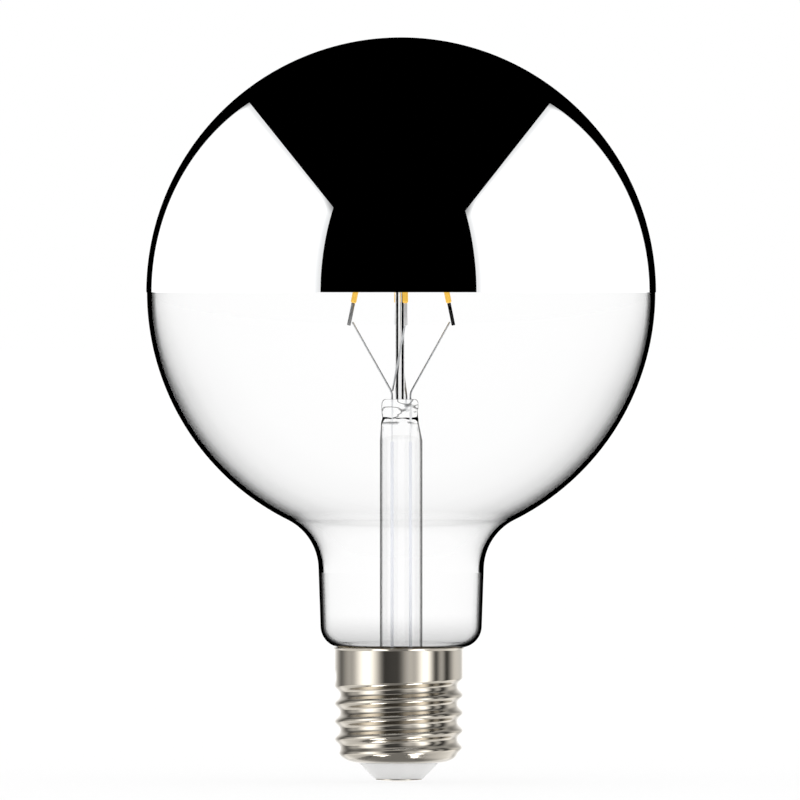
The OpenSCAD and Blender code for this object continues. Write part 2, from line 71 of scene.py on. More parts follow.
def low(node):
    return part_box(node)[0]


def high(node):
    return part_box(node)[1]


cap_x = (low("screw_shell").x + high("screw_shell").x) / 2
base_z = low("screw_shell").z
lip_z = high("screw_shell").z
press_top_z = high("stem_tube").z
stem_low_z = low("stem_tube").z
mouth_z = low("glass_envelope").z
rod_top_z = high("support_rod").z
board_top_z = high("driver_board").z

# Globe, neck and mouth
globe_r = 52 * MM
glass_wall = 0.9 * MM
globe_z = high("glass_envelope").z - globe_r
shoulder_r = 11.35 * MM
neck_r = 16.9 * MM
neck_len = 11.55 * MM
neck_taper = math.radians(2)
corner_r = 4.4 * MM
mouth_r = 11 * MM
mouth_fillet_r = 0.5 * MM
mouth_depth = 7.3 * MM
crown_seat = 0.02 * MM
crown_coat = 0.12 * MM
seal_h = 7.5 * MM
bend_low_z = lip_z + 15.4 * MM

# Screw shell
cap_r = 13.1 * MM
cap_wall = 0.3 * MM
lip_out = 0.3 * MM
lip_h = 0.5 * MM
lip_edge = 0.05 * MM
bowl_h = 4.05 * MM
bowl_w = 4.7 * MM
base_hole_r = 8.2 * MM
thread_depth = 1.1 * MM
thread_pitch = 3.63 * MM
groove_z = base_z + 12.08 * MM
groove_end = math.radians(556)
groove_fade = math.radians(80)

# Insulator and contact
insulator_low_r = 5.1 * MM
contact_r = 4.75 * MM
contact_h = 0.68 * MM
contact_rim = 0.18 * MM
plug_r = 8.15 * MM
flange_h = 1.3 * MM
rivet_r = 1.2 * MM
rivet_head_r = 1.8 * MM
rivet_head_h = 0.5 * MM

# Stem
stem_r = 4.35 * MM
stem_wall = 0.45 * MM
stem_bore_r = stem_r - stem_wall
press_w = 7.3 * MM
press_t = 3.4 * MM
press_h = 8.5 * MM
press_x = -0.25 * MM
press_shoulder_h = 0.42 * press_h
exhaust_r = 1.5 * MM
exhaust_wall = 0.5 * MM
rod_r = 0.975 * MM
stem_top_z = press_top_z - press_h

# Filaments, tabs and wires
filament_len = 29 * MM
filament_r = 0.575 * MM
filament_lean = math.radians(11.5)
filament_foot_r = 10.75 * MM
foot_z = press_top_z + 15.1 * MM
filament_turn = math.radians(5)
tab_len = 4.7 * MM
tab_w = 0.72 * MM
tab_t = 0.3 * MM
tab_corner = 0.12 * MM
tab_edge = 0.03 * MM
filament_span = filament_len + 2 * tab_len
wire_r = 0.19 * MM
weld_h = 0.7 * MM
sleeve_r = 0.33 * MM
seat = 0.02 * MM
lead_y = 0.9 * MM
lead_left_x = -1.85 * MM
lead_right_x = 1.9 * MM
lead_back_x = 1.1 * MM
lead_bend_z = press_top_z + 1.3 * MM
lead_bend = 0.8 * MM
stub_z = press_top_z - 2.3 * MM
stub_bend = 0.3 * MM
SIDES = ["right", "back", "left", "front"]


# Making pieces


def arc(centre, radius, start, end, steps):
    """Points of an arc in the XZ plane, from one angle to another."""
    angles = [start + (end - start) * k / steps for k in range(steps + 1)]
    return [(centre[0] + radius * math.cos(a), centre[1] + radius * math.sin(a)) for a in angles]


def lathe(outline, closed=False, steps=192):
    """Spins an outline of (radius, height) points round the lamp's axis."""
    bm = bmesh.new()
    verts = [bm.verts.new((x, 0, z)) for x, z in outline]
    edges = [bm.edges.new(pair) for pair in zip(verts, verts[1:])]
    if closed:
        edges.append(bm.edges.new((verts[-1], verts[0])))
    bmesh.ops.spin(bm, geom=verts + edges, cent=(0, 0, 0), axis=AXIS, angle=2 * math.pi,
                   steps=steps, use_merge=True, use_duplicate=False)
    bmesh.ops.remove_doubles(bm, verts=bm.verts[:], dist=1e-7)
    bmesh.ops.recalc_face_normals(bm, faces=bm.faces[:])
    return bm


def sweep(path, radius, sides=16):
    """Extrudes a circle along a path of points, and closes both ends."""
    bm = bmesh.new()
    ring = bmesh.ops.create_circle(bm, cap_ends=False, segments=sides, radius=radius)["verts"]
    edges = bm.edges[:]
    first = edges
    heading = (path[1] - path[0]).normalized()
    turn = AXIS.rotation_difference(heading)
    bmesh.ops.rotate(bm, verts=ring, cent=(0, 0, 0), matrix=turn.to_matrix())
    bmesh.ops.translate(bm, verts=ring, vec=path[0])
    for k in range(1, len(path)):
        made = bmesh.ops.extrude_edge_only(bm, edges=edges)["geom"]
        ring = [v for v in made if isinstance(v, bmesh.types.BMVert)]
        edges = [e for e in made if isinstance(e, bmesh.types.BMEdge)]
        ahead = path[min(k + 1, len(path) - 1)] - path[k - 1]
        turn = heading.rotation_difference(ahead.normalized())
        heading = ahead.normalized()
        bmesh.ops.rotate(bm, verts=ring, cent=path[k - 1], matrix=turn.to_matrix())
        bmesh.ops.translate(bm, verts=ring, vec=path[k] - path[k - 1])
    bmesh.ops.holes_fill(bm, edges=first + edges, sides=0)
    bmesh.ops.recalc_face_normals(bm, faces=bm.faces[:])
    return bm


def rounded(points, cut, steps=8):
    """A path through points with each corner cut round."""
    path = [points[0]]
    for before, here, after in zip(points, points[1:], points[2:]):
        a = here + cut * (before - here).normalized()
        b = here + cut * (after - here).normalized()
        for k in range(steps + 1):
            t = k / steps
            path.append((1 - t) ** 2 * a + 2 * t * (1 - t) * here + t * t * b)
    return path + [points[-1]]


def smooth(x):
    """Rises softly from 0 to 1 while x does."""
    t = min(1, max(0, x))
    return t * t * (3 - 2 * t)


def shift(bm, offset):
    bmesh.ops.translate(bm, verts=bm.verts[:], vec=offset)
    return bm


def piece(bm, name, material, slot, *nodes):
    """Turns a bmesh into a piece of the lamp that stands for CAD nodes."""
    mesh = bpy.data.meshes.new(name)
    bm.to_mesh(mesh)
    bm.free()
    mesh.shade_smooth()
    mesh.set_sharp_from_angle(angle=math.radians(40))
    mesh.materials.append(material)
    obj = bpy.data.objects.new(name, mesh)
    bpy.context.scene.collection.objects.link(obj)
    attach(obj, "root")
    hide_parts(*nodes)
    return obj


# Materials


def srgb(code):
    """A hex colour as linear red, green, blue and alpha."""
    parts = [int(code[k:k + 2], 16) / 255 for k in (1, 3, 5)]
    linear = [c / 12.92 if c <= 0.04045 else ((c + 0.055) / 1.055) ** 2.4 for c in parts]
    return (*linear, 1)


def add(tree, kind, values=None, links=None, **settings):
    """Adds a node with its settings, the values of its inputs and their links."""
    node = tree.nodes.new(kind)
    for name, setting in settings.items():
        setattr(node, name, setting)
    for name, value in (values or {}).items():
        node.inputs[name].default_value = value
    for name, source in (links or {}).items():
        tree.links.new(source, node.inputs[name])
    return node


def new_material(name):
    material = bpy.data.materials.new(name)
    material.use_nodes = True
    material.node_tree.nodes.clear()
    return material, material.node_tree


def show(tree, shader):
    add(tree, "ShaderNodeOutputMaterial", links={"Surface": shader.outputs[0]})


def set_ramp(node, stops):
    """Sets a colour ramp's stops from (place, grey) pairs."""
    points = node.color_ramp.elements
    while len(points) < len(stops):
        points.new(0.5)
    for point, (place, grey) in zip(points, stops):
        point.position = place
        point.color = (grey, grey, grey, 1)


def painted_facing_shade(tree, stops):
    """Painted shade: grey from a ramp over how steeply the surface is met."""
    facing = add(tree, "ShaderNodeLayerWeight", {"Blend": 0.5})
    ramp = add(tree, "ShaderNodeValToRGB", links={"Fac": facing.outputs["Facing"]})
    set_ramp(ramp, stops)
    return ramp.outputs["Color"]


def from_outside(tree, grey):
    """Keeps a grey where glass is entered, and clear white where it is left."""
    side = add(tree, "ShaderNodeNewGeometry")
    return add(tree, "ShaderNodeMix", {"B": (1, 1, 1, 1)},
               {"Factor": side.outputs["Backfacing"], "A": grey}, data_type="RGBA").outputs["Result"]


def height_share(tree, low_z, high_z, low_share, high_share):
    """A share that changes smoothly from one height to another."""
    place = add(tree, "ShaderNodeTexCoord")
    split = add(tree, "ShaderNodeSeparateXYZ", links={0: place.outputs["Object"]})
    share = add(tree, "ShaderNodeMapRange", {
        "From Min": low_z, "From Max": high_z, "To Min": low_share, "To Max": high_share},
        {"Value": split.outputs["Z"]}, interpolation_type="SMOOTHSTEP")
    return share.outputs[0]


def outer_face(tree, grey, centre_z):
    """Keeps a grey on faces that look away from the axis, and clear white on the others."""
    place = add(tree, "ShaderNodeTexCoord")
    surface = add(tree, "ShaderNodeNewGeometry")
    reach = add(tree, "ShaderNodeVectorMath", {1: (0, 0, centre_z)}, {0: place.outputs["Object"]},
                operation="SUBTRACT")
    away = add(tree, "ShaderNodeVectorMath", links={0: surface.outputs["Normal"], 1: reach.outputs[0]},
               operation="DOT_PRODUCT")
    inner = add(tree, "ShaderNodeMath", {1: 0}, {0: away.outputs["Value"]}, operation="LESS_THAN")
    clear = add(tree, "ShaderNodeMath", links={0: inner.outputs[0], 1: surface.outputs["Backfacing"]},
                operation="MAXIMUM")
    return add(tree, "ShaderNodeMix", {"B": (1, 1, 1, 1)}, {"Factor": clear.outputs[0], "A": grey},
               data_type="RGBA").outputs["Result"]


def with_gloss(tree, clear):
    """Adds the thin sheen of polished glass where a clear shader is entered."""
    gloss = add(tree, "ShaderNodeBsdfGlossy", {"Roughness": 0.0, "Color": (1, 1, 1, 1)})
    sheen = add(tree, "ShaderNodeFresnel", {"IOR": 1.08})
    side = add(tree, "ShaderNodeNewGeometry")
    front = add(tree, "ShaderNodeMath", {0: 1}, {1: side.outputs["Backfacing"]}, operation="SUBTRACT")
    share = add(tree, "ShaderNodeMath", links={0: sheen.outputs[0], 1: front.outputs[0]},
                operation="MULTIPLY")
    return add(tree, "ShaderNodeMixShader", links={
        0: share.outputs[0], 1: clear.outputs[0], 2: gloss.outputs[0]})


def lets_light_in(tree, glass):
    """Lets soft light through the glass unchanged, so that what stands inside is lit as outside."""
    path = add(tree, "ShaderNodeLightPath")
    open_air = add(tree, "ShaderNodeBsdfTransparent")
    return add(tree, "ShaderNodeMixShader", links={
        0: path.outputs["Is Diffuse Ray"], 1: glass.outputs[0], 2: open_air.outputs[0]})


def seal_grey(tree):
    """Grey on the glass close to the cap, which clears up the neck."""
    clear = height_share(tree, lip_z, lip_z + seal_h, 0, 1)
    return add(tree, "ShaderNodeMix", {"A": srgb("#d2d2d2"), "B": (1, 1, 1, 1)}, {"Factor": clear},
               data_type="RGBA").outputs["Result"]


def bending_wall(tree):
    """Wall of the globe, with painted shade: a thin dark rim, and a wider grey one where the wall looks
    down.
    """
    # Painted shade: the glass darkens at its outline, for the dark room that the wall bends and mirrors
    upright = painted_facing_shade(tree, [(0, 1), (0.6, 0.99), (0.75, 0.95), (0.8, 0.889), (0.86, 0.333),
                                 (0.92, 0.116), (1, 0.01)])
    downward = painted_facing_shade(tree, [(0, 1), (0.3, 0.991), (0.45, 0.971), (0.55, 0.944), (0.62, 0.888),
                                  (0.68, 0.851), (0.74, 0.726), (0.8, 0.547), (0.86, 0.419),
                                  (0.92, 0.315), (1, 0)])
    surface = add(tree, "ShaderNodeNewGeometry")
    split = add(tree, "ShaderNodeSeparateXYZ", links={0: surface.outputs["Normal"]})
    tilt = add(tree, "ShaderNodeMath", links={0: split.outputs["Z"]}, operation="ABSOLUTE")
    down = add(tree, "ShaderNodeMapRange", {"From Min": 0.05, "From Max": 0.4},
               {"Value": tilt.outputs[0]})
    grey = add(tree, "ShaderNodeMix", links={
        "Factor": down.outputs[0], "A": upright, "B": downward}, data_type="RGBA")
    shaded_grey = add(tree, "ShaderNodeMix", {"Factor": 1}, {
        "A": grey.outputs["Result"], "B": seal_grey(tree)}, data_type="RGBA", blend_type="MULTIPLY")
    seen = from_outside(tree, shaded_grey.outputs["Result"])
    return add(tree, "ShaderNodeBsdfRefraction", {"Roughness": 0, "IOR": 1.5}, {"Color": seen})


def straight_wall(tree):
    """Wall of the lower neck, with a thin dark rim of painted shade and nothing behind it bent."""
    # Painted shade: a dark rim at the neck's outline
    rim = painted_facing_shade(tree, [(0, 1), (0.5, 0.97), (0.58, 0.89), (0.62, 0.76), (0.66, 0.4), (0.72, 0.03),
                             (0.8, 0), (1, 0)])
    shaded_grey = add(tree, "ShaderNodeMix", {"Factor": 1}, {"A": rim, "B": seal_grey(tree)},
               data_type="RGBA", blend_type="MULTIPLY")
    seen = outer_face(tree, shaded_grey.outputs["Result"], globe_z)
    return add(tree, "ShaderNodeBsdfTransparent", links={"Color": seen})


def blown_soda_lime_glass():
    """Thin clear blown soda-lime glass: nearly unseen in the middle, with painted shade dark at its
    outline.
    """
    material, tree = new_material("blown_soda_lime_glass")
    # The two looks meet at a sharp line in the straight part of the neck
    bent = height_share(tree, bend_low_z, bend_low_z + 0.002 * MM, 0, 1)
    clear = add(tree, "ShaderNodeMixShader", links={
        0: bent, 1: straight_wall(tree).outputs[0], 2: bending_wall(tree).outputs[0]})
    show(tree, lets_light_in(tree, with_gloss(tree, clear)))
    return material


def press_painted_shade(tree):
    """Painted shade: wavy dark lines and grey patches in the pressed glass, for light that its waves
    bend.
    """
    wave_w = 6.6667 * MM
    wave_h = 2.38095 * MM
    place = add(tree, "ShaderNodeTexCoord")
    scale = add(tree, "ShaderNodeMapping", {
        "Scale": (1 / wave_w, 1 / wave_w, 1 / wave_h), "Location": (0.4, 0.1, 0)},
        {"Vector": place.outputs["Object"]})
    waves = add(tree, "ShaderNodeTexNoise", {"Scale": 1, "Detail": 1.5}, {"Vector": scale.outputs[0]})
    shade_lines = add(tree, "ShaderNodeValToRGB", links={"Fac": waves.outputs["Fac"]})
    # Painted shade: dark wavy lines and grey patches for light bent by the pressed glass
    set_ramp(shade_lines, [(0, 0.3), (0.38, 0.3), (0.4, 1), (0.52, 1), (0.545, 0.15), (0.57, 1), (1, 1)])
    share = height_share(tree, stem_top_z + 3.2 * MM, stem_top_z + 3.8 * MM, 0, 1)
    return add(tree, "ShaderNodeMix", {"A": (1, 1, 1, 1)},
               {"Factor": share, "B": shade_lines.outputs["Color"]}, data_type="RGBA").outputs["Result"]


def drawn_stem_glass():
    """Thin drawn tube with fine dark edges of painted shade, which bends light fully in the solid
    press.
    """
    material, tree = new_material("drawn_stem_glass")
    # Painted shade: fine dark edges on the tube
    grey = painted_facing_shade(tree, [(0, 1), (0.44, 0.97), (0.52, 0.75), (0.6, 0.25), (0.8, 0.2), (1, 0.3)])
    shaded_press = add(tree, "ShaderNodeMix", {"Factor": 1}, {"A": grey, "B": press_painted_shade(tree)},
                 data_type="RGBA", blend_type="MULTIPLY")
    seen = outer_face(tree, shaded_press.outputs["Result"], stem_top_z)
    bend = add(tree, "ShaderNodeBsdfRefraction", {"Roughness": 0, "IOR": 1.5}, {"Color": seen})
    straight = add(tree, "ShaderNodeBsdfTransparent", links={"Color": seen})
    bent = height_share(tree, stem_top_z + 1.5 * MM, stem_top_z + 3.5 * MM, 0.04, 1)
    glass = add(tree, "ShaderNodeMixShader", links={
        0: bent, 1: straight.outputs[0], 2: bend.outputs[0]})
    show(tree, lets_light_in(tree, glass))
    return material


def drawn_exhaust_glass():
    """Thin drawn tube, almost lost inside the stem."""
    material, tree = new_material("drawn_exhaust_glass")
    bend = add(tree, "ShaderNodeBsdfRefraction", {"Roughness": 0, "IOR": 1.5, "Color": srgb("#fdfdff")})
    straight = add(tree, "ShaderNodeBsdfTransparent")
    glass = add(tree, "ShaderNodeMixShader", {0: 0.04}, {1: straight.outputs[0], 2: bend.outputs[0]})
    show(tree, lets_light_in(tree, glass))
    return material


def solid_glass_rod():
    """Solid drawn rod, with painted shade for the dark lines that light bent in a round rod makes
    inside.
    """
    material, tree = new_material("solid_glass_rod")
    # Painted shade: dark lines inside the rod
    grey = painted_facing_shade(tree, [(0, 0.85), (0.05, 0.8), (0.08, 0), (0.34, 0), (0.42, 0.7), (0.6, 0.85),
                              (1, 0.85)])
    bend = add(tree, "ShaderNodeBsdfRefraction", {"Roughness": 0, "IOR": 1.5},
               {"Color": from_outside(tree, grey)})
    show(tree, bend)
    return material


def metallised_mirror():
    """Vacuum-metallised aluminium under clear lacquer: a true mirror."""
    material, tree = new_material("metallised_mirror")
    show(tree, add(tree, "ShaderNodeBsdfPrincipled", {
        "Base Color": srgb("#f6f7f8"), "Metallic": 1, "Roughness": 0.015}))
    return material


def rolled_nickel_plate():
    """Nickel-plated rolled brass: warm grey, soft gloss, faint rolling lines round the shell."""
    material, tree = new_material("rolled_nickel_plate")
    line_len = 16.667 * MM
    line_gap = 0.153846 * MM
    place = add(tree, "ShaderNodeTexCoord")
    scale = add(tree, "ShaderNodeMapping", {"Scale": (1 / line_len, 1 / line_len, 1 / line_gap)},
                {"Vector": place.outputs["Object"]})
    lines = add(tree, "ShaderNodeTexNoise", {"Scale": 1, "Detail": 2},
                {"Vector": scale.outputs[0]})
    rough = add(tree, "ShaderNodeMapRange", {"To Min": 0.1, "To Max": 0.14},
                {"Value": lines.outputs["Fac"]})
    bump = add(tree, "ShaderNodeBump", {"Strength": 0.05, "Distance": 0.02 * MM},
               {"Height": lines.outputs["Fac"]})
    show(tree, add(tree, "ShaderNodeBsdfPrincipled", {
        "Base Color": srgb("#cfc8bc"), "Metallic": 1},
        {"Roughness": rough.outputs[0], "Normal": bump.outputs[0]}))
    return material


def plain_metal(name, colour, roughness, metallic=1):
    """Wire or sheet metal with gloss that varies in spots, as its tools left it."""
    material, tree = new_material(name)
    spot = 0.25 * MM
    place = add(tree, "ShaderNodeTexCoord")
    grain = add(tree, "ShaderNodeTexNoise", {"Scale": 1 / spot, "Detail": 2},
                {"Vector": place.outputs["Object"]})
    rough = add(tree, "ShaderNodeMapRange", {"To Min": roughness * 0.8, "To Max": roughness * 1.2},
                {"Value": grain.outputs["Fac"]})
    show(tree, add(tree, "ShaderNodeBsdfPrincipled", {"Base Color": srgb(colour), "Metallic": metallic},
                   {"Roughness": rough.outputs[0]}))
    return material


def drawn_lead_wire():
    """Drawn nickel wire, grey where it stands free, and painted pale as painted light where glass or a
    sleeve holds it.
    """
    material, tree = new_material("drawn_lead_wire")
    free = height_share(tree, press_top_z - 0.6 * MM, press_top_z, 0, 1)
    # Painted light: pale non-metal where glass or a sleeve holds the wire
    colour = add(tree, "ShaderNodeMix", {"A": srgb("#f6f7f9"), "B": srgb("#c2c4c6")},
                 {"Factor": free}, data_type="RGBA")
    show(tree, add(tree, "ShaderNodeBsdfPrincipled", {"Roughness": 0.3}, {
        "Base Color": colour.outputs["Result"], "Metallic": free}))
    return material


def silicone_phosphor():
    """Cast silicone full of yellow phosphor: matt gold, with a faint glow painted on as painted light.
    """
    material, tree = new_material("silicone_phosphor")
    # The grains are drawn coarser than real ones, so that they show
    grain_gap = 0.11111 * MM
    place = add(tree, "ShaderNodeTexCoord")
    grain = add(tree, "ShaderNodeTexNoise", {"Scale": 1 / grain_gap, "Detail": 3},
                {"Vector": place.outputs["Object"]})
    colour = add(tree, "ShaderNodeMix", {"A": srgb("#ffc533"), "B": srgb("#ffdd66")},
                 {"Factor": grain.outputs["Fac"]}, data_type="RGBA")
    bump = add(tree, "ShaderNodeBump", {"Strength": 0.3, "Distance": 0.03 * MM},
               {"Height": grain.outputs["Fac"]})
    # Painted light: a faint glow, though the strips are not lit
    show(tree, add(tree, "ShaderNodeBsdfPrincipled", {
        "Roughness": 0.4, "Emission Color": srgb("#ffbb4a"), "Emission Strength": 0.28},
        {"Base Color": colour.outputs["Result"], "Normal": bump.outputs[0]}))
    return material


def moulded(name, colour, second, roughness, grain_mm=0.3):
    """Moulded or cast non-metal: two near colours in soft grains and a faint bump."""
    material, tree = new_material(name)
    place = add(tree, "ShaderNodeTexCoord")
    grain = add(tree, "ShaderNodeTexNoise", {"Scale": 1 / (grain_mm * MM), "Detail": 3},
                {"Vector": place.outputs["Object"]})
    mixed = add(tree, "ShaderNodeMix", {"A": srgb(colour), "B": srgb(second)},
                {"Factor": grain.outputs["Fac"]}, data_type="RGBA")
    bump = add(tree, "ShaderNodeBump", {"Strength": 0.15, "Distance": 0.02 * MM},
               {"Height": grain.outputs["Fac"]})
    show(tree, add(tree, "ShaderNodeBsdfPrincipled", {"Roughness": roughness},
                   {"Base Color": mixed.outputs["Result"], "Normal": bump.outputs[0]}))
    return material


clear_glass = blown_soda_lime_glass()
stem_glass = drawn_stem_glass()
exhaust_glass = drawn_exhaust_glass()
rod_glass = solid_glass_rod()
mirror = metallised_mirror()
nickel = rolled_nickel_plate()
wire_metal = drawn_lead_wire()
spider_metal = plain_metal("welded_nickel_spider", "#c2c4c6", 0.3)
# All tabs are the same stamped steel; the front copy is painted pale as painted light and the right
# copy dark as painted shade
tab_metal = plain_metal("stamped_steel_tab", "#8f8f8f", 0.35)
lit_tab_metal = plain_metal("stamped_steel_tab_painted_light", "#f2f2f2", 0.45, 0.1)
shaded_tab_metal = plain_metal("stamped_steel_tab_painted_shade", "#262626", 0.4)
phosphor = silicone_phosphor()
sleeve_plastic = moulded("woven_glass_sleeve", "#e8ebf4", "#f4f6fb", 0.6)
insulator_plastic = moulded("moulded_white_insulator", "#f4f4f4", "#fbfbfb", 0.35)
cement = moulded("baked_cap_cement", "#b9a78a", "#cdbd9f", 0.9, 0.5)
laminate = moulded("glass_fibre_laminate", "#2f6b45", "#3f7d55", 0.4, 0.4)
black_plastic = moulded("moulded_black_epoxy", "#1c1d1f", "#2a2b2d", 0.5)
can_film = moulded("shrunk_film_on_can", "#27508f", "#2f5b9e", 0.3, 0.8)
resistor_body = moulded("cement_coated_resistor", "#c6a878", "#d6bb8e", 0.7)
red_cover = moulded("extruded_red_cover", "#b3261e", "#c2352b", 0.4)
blue_cover = moulded("extruded_blue_cover", "#2b54b0", "#3562bf", 0.4)


# Globe and crown


def envelope_line(inset):
    """Half outline of the glass from its top to its mouth, inset from the outer face."""
    shoulder = (shoulder_x, shoulder_z)
    corner = (corner_x, corner_z)
    fillet = (fillet_x, fillet_z)
    waist = math.atan2(shoulder_z - globe_z, shoulder_x)
    step_in = math.atan2(fillet_z - corner_z, fillet_x - corner_x)
    line = arc((0, globe_z), globe_r - inset, math.pi / 2, waist, 150)
    line += arc(shoulder, shoulder_r + inset, waist + math.pi, math.pi - neck_taper, 28)
    line += arc(corner, corner_r - inset, -neck_taper, step_in, 24)
    line += arc(fillet, mouth_fillet_r + inset, step_in + math.pi, math.pi, 8)
    line += [(mouth_r - inset, mouth_z)]
    line[0] = (0, globe_z + globe_r - inset)
    return line


def leg(long_side, short_side):
    """The other short side of a right-angled triangle."""
    return math.sqrt(long_side ** 2 - short_side ** 2)


# Centres of the outline's arcs, from the mouth upwards
fillet_x = mouth_r + mouth_fillet_r
fillet_z = mouth_z + mouth_depth
shoulder_x = neck_r + shoulder_r
neck_drop = neck_len + shoulder_r * math.sin(neck_taper)
corner_x = (shoulder_x - shoulder_r * math.cos(neck_taper)
            - (neck_drop * math.sin(neck_taper) + corner_r) / math.cos(neck_taper))
corner_z = fillet_z + leg(corner_r + mouth_fillet_r, fillet_x - corner_x)
shoulder_z = corner_z + neck_len


def globe():
    outline = envelope_line(0) + envelope_line(glass_wall)[::-1]
    piece(lathe(outline, steps=224), "blown_globe", clear_glass, "clear_glass", "glass_envelope")


def crown():
    inner_r = globe_r + crown_seat
    outer_r = inner_r + crown_coat
    centre = (0, globe_z)
    outer = arc(centre, outer_r, math.pi / 2, 0, 110)
    inner = arc(centre, inner_r, 0, math.pi / 2, 110)
    outer[0] = (0, globe_z + outer_r)
    inner[-1] = (0, globe_z + inner_r)
    piece(lathe(outer + inner, steps=256), "silver_crown", mirror, "mirror_coat", "mirror_crown")


# Stem


def jaw_wave(place):
    """Uneven waves that the jaws leave in the soft glass, about 2 mm apart."""
    wave = 2 * MM
    depth = 0.22 * MM
    height = (place.z - stem_top_z) / press_h
    strength = smooth((height - 0.3) / 0.3)
    return depth * strength * noise.noise(Vector((place.x, place.y, 1.6 * place.z)) / wave)


def press_radius(angle, height):
    """Radius of the pressed stem at an angle and a height above the round tube."""
    flat = min(1, height / press_shoulder_h)
    tight = min(1, max(0, (height - press_shoulder_h) / (0.14 * press_h)))
    wide = stem_r + flat * ((press_w + 0.4 * MM) / 2 - stem_r) - tight * 0.2 * MM
    deep = stem_r + flat * (press_t * 0.75 - stem_r) - tight * press_t * 0.25
    power = 2 + 3 * flat
    across = (abs(math.cos(angle)) / wide) ** power + (abs(math.sin(angle)) / deep) ** power
    return across ** (-1 / power)


def stem():
    """Flare, tube and press: turned as a round tube, then pressed flat at its top."""
    flare_r = mouth_r - glass_wall - stem_r
    flare_x = stem_r + flare_r
    flare_z = stem_low_z + stem_wall + flare_r
    edge = 0.7 * MM
    edge_w = 0.14 * stem_r
    side_steps = 60
    dome_z = stem_top_z + 1.2 * MM
    outer = [(0, press_top_z), (stem_r * 0.4, press_top_z), (stem_r * 0.72, press_top_z)]
    for k in range(7):
        a = math.pi / 2 * (1 - k / 6)
        outer.append((stem_r - edge_w + edge_w * math.cos(a), press_top_z - edge + edge * math.sin(a)))
    for k in range(1, side_steps + 1):
        outer.append((stem_r, press_top_z - edge - (press_h - edge) * k / side_steps))
    outer += [(stem_r, stem_top_z - 2 * MM)]
    outer += arc((flare_x, flare_z), flare_r, math.pi, 1.5 * math.pi, 24)
    outer += [(mouth_r, stem_low_z + stem_wall), (mouth_r, stem_low_z)]
    inner = arc((flare_x, flare_z), flare_r + stem_wall, 1.5 * math.pi, math.pi, 24)
    inner += [(stem_bore_r, stem_top_z)]
    inner += [(stem_bore_r * math.cos(a), stem_top_z + (dome_z - stem_top_z) * math.sin(a))
              for a in [math.pi / 2 * k / 8 for k in range(1, 8)]]
    inner += [(0, dome_z)]
    bm = lathe(outer + inner, steps=128)
    for v in bm.verts:
        radius = math.hypot(v.co.x, v.co.y)
        if v.co.z > stem_top_z and (radius > stem_bore_r + 0.1 * MM or v.co.z > dome_z + 0.1 * MM):
            angle = math.atan2(v.co.y, v.co.x)
            height = v.co.z - stem_top_z
            reach = (press_radius(angle, height) + jaw_wave(v.co)) * radius / stem_r
            v.co.x = reach * math.cos(angle) + press_x * min(1, height / press_shoulder_h)
            v.co.y = reach * math.sin(angle)
    piece(bm, "glass_stem", stem_glass, "stem_glass", "stem_tube")


def exhaust():
    """Tube with a melted round tip."""
    tip_z = low("exhaust_tube").z
    top_z = high("exhaust_tube").z
    bore = exhaust_r - exhaust_wall
    outline = [(0, tip_z)] + arc((0, tip_z + exhaust_r), exhaust_r, -math.pi / 2, 0, 12)[1:]
    outline += [(exhaust_r, top_z), (bore, top_z), (bore, tip_z + exhaust_r)]
    outline += arc((0, tip_z + exhaust_r), bore, 0, -math.pi / 2, 10)[1:-1]
    outline += [(0, tip_z + exhaust_wall)]
    piece(lathe(outline, steps=64), "glass_exhaust", exhaust_glass, "stem_glass", "exhaust_tube")


def rod():
    tip = 0.4 * MM
    outline = [(0, press_top_z + seat), (rod_r, press_top_z + seat), (rod_r, rod_top_z - tip)]
    outline += arc((rod_r - tip, rod_top_z - tip), tip, 0, math.pi / 2, 8)[1:] + [(0, rod_top_z)]
    bm = shift(lathe(outline, steps=64), (press_x, 0, 0))
    piece(bm, "glass_rod", rod_glass, "stem_glass", "support_rod")


# Filaments, tabs and wires


def filament_point(i, h):
    """The point on filament i's middle line at a height h along it, tabs counted in."""
    radius = filament_foot_r - h * math.sin(filament_lean)
    angle = filament_turn + i * math.pi / 2
    return Vector((radius * math.cos(angle), radius * math.sin(angle),
                   foot_z + h * math.cos(filament_lean)))


def on_filament(i, h):
    """Stands a piece on filament i, its faces turned to the front and the back."""
    return (Matrix.Translation(filament_point(i, h))
            @ Matrix.Rotation(filament_turn + i * math.pi / 2, 4, "Z")
            @ Matrix.Rotation(-filament_lean, 4, "Y")
            @ Matrix.Rotation(-i * math.pi / 2, 4, "Z"))


def weld_point(i, h):
    """Where a wire's middle lies when it is welded to the inner side of tab i."""
    reach = (tab_w if i % 2 == 0 else tab_t) / 2 + wire_r + 3 * seat
    angle = filament_turn + i * math.pi / 2
    return filament_point(i, h) - reach * Vector((math.cos(angle), math.sin(angle), 0))


def filament(i):
    round_r = filament_r * 0.5
    middle = filament_r - round_r
    outline = [(0, 0)] + arc((middle, round_r), round_r, -math.pi / 2, 0, 8)
    outline += arc((middle, filament_len - round_r), round_r, 0, math.pi / 2, 8) + [(0, filament_len)]
    bm = lathe(outline, steps=32)
    bmesh.ops.transform(bm, matrix=on_filament(i, tab_len), verts=bm.verts[:])
    piece(bm, f"strip_{SIDES[i]}", phosphor, "phosphor", f"filament_{SIDES[i]}")


